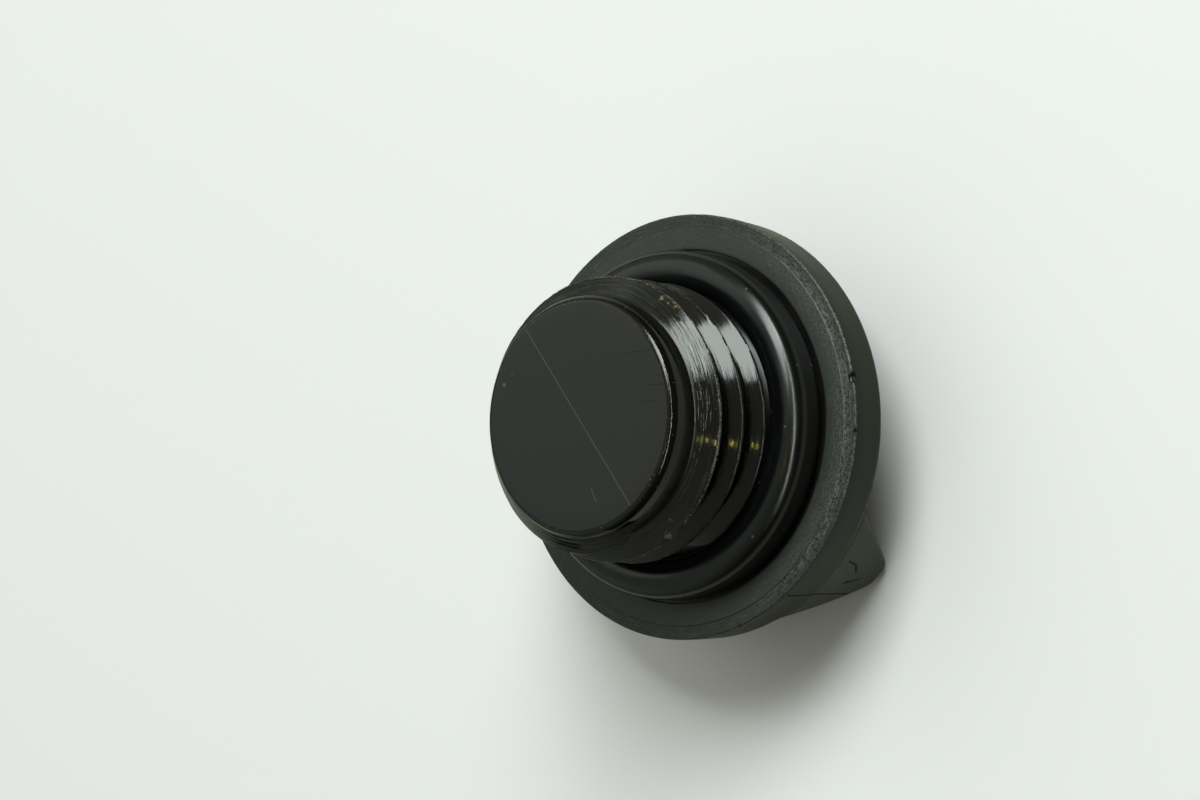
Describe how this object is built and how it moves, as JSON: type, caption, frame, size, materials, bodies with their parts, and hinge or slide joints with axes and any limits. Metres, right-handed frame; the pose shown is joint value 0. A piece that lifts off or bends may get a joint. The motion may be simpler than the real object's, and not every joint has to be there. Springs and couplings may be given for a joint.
{
  "type": "oil filler cap",
  "caption": "Screw-in oil filler cap with a closed plug, a coarse thread, a rubber sealing ring, a round flange and a bar grip.",
  "frame": {"origin": "on the cap's axis, in the plane of the flange's sealing face", "axes": "+Z along the axis towards the plug's closed end, the way the cap goes into the filler neck; +X along the grip"},
  "size_m": [0.049, 0.049, 0.0352],
  "materials": {
    "moulded_plastic": "satin black moulded plastic, scuffed",
    "ring_rubber": "smooth black rubber"
  },
  "bodies": {
    "root": {"cap": "moulded_plastic", "gasket": "ring_rubber"}
  },
  "joints": []
}
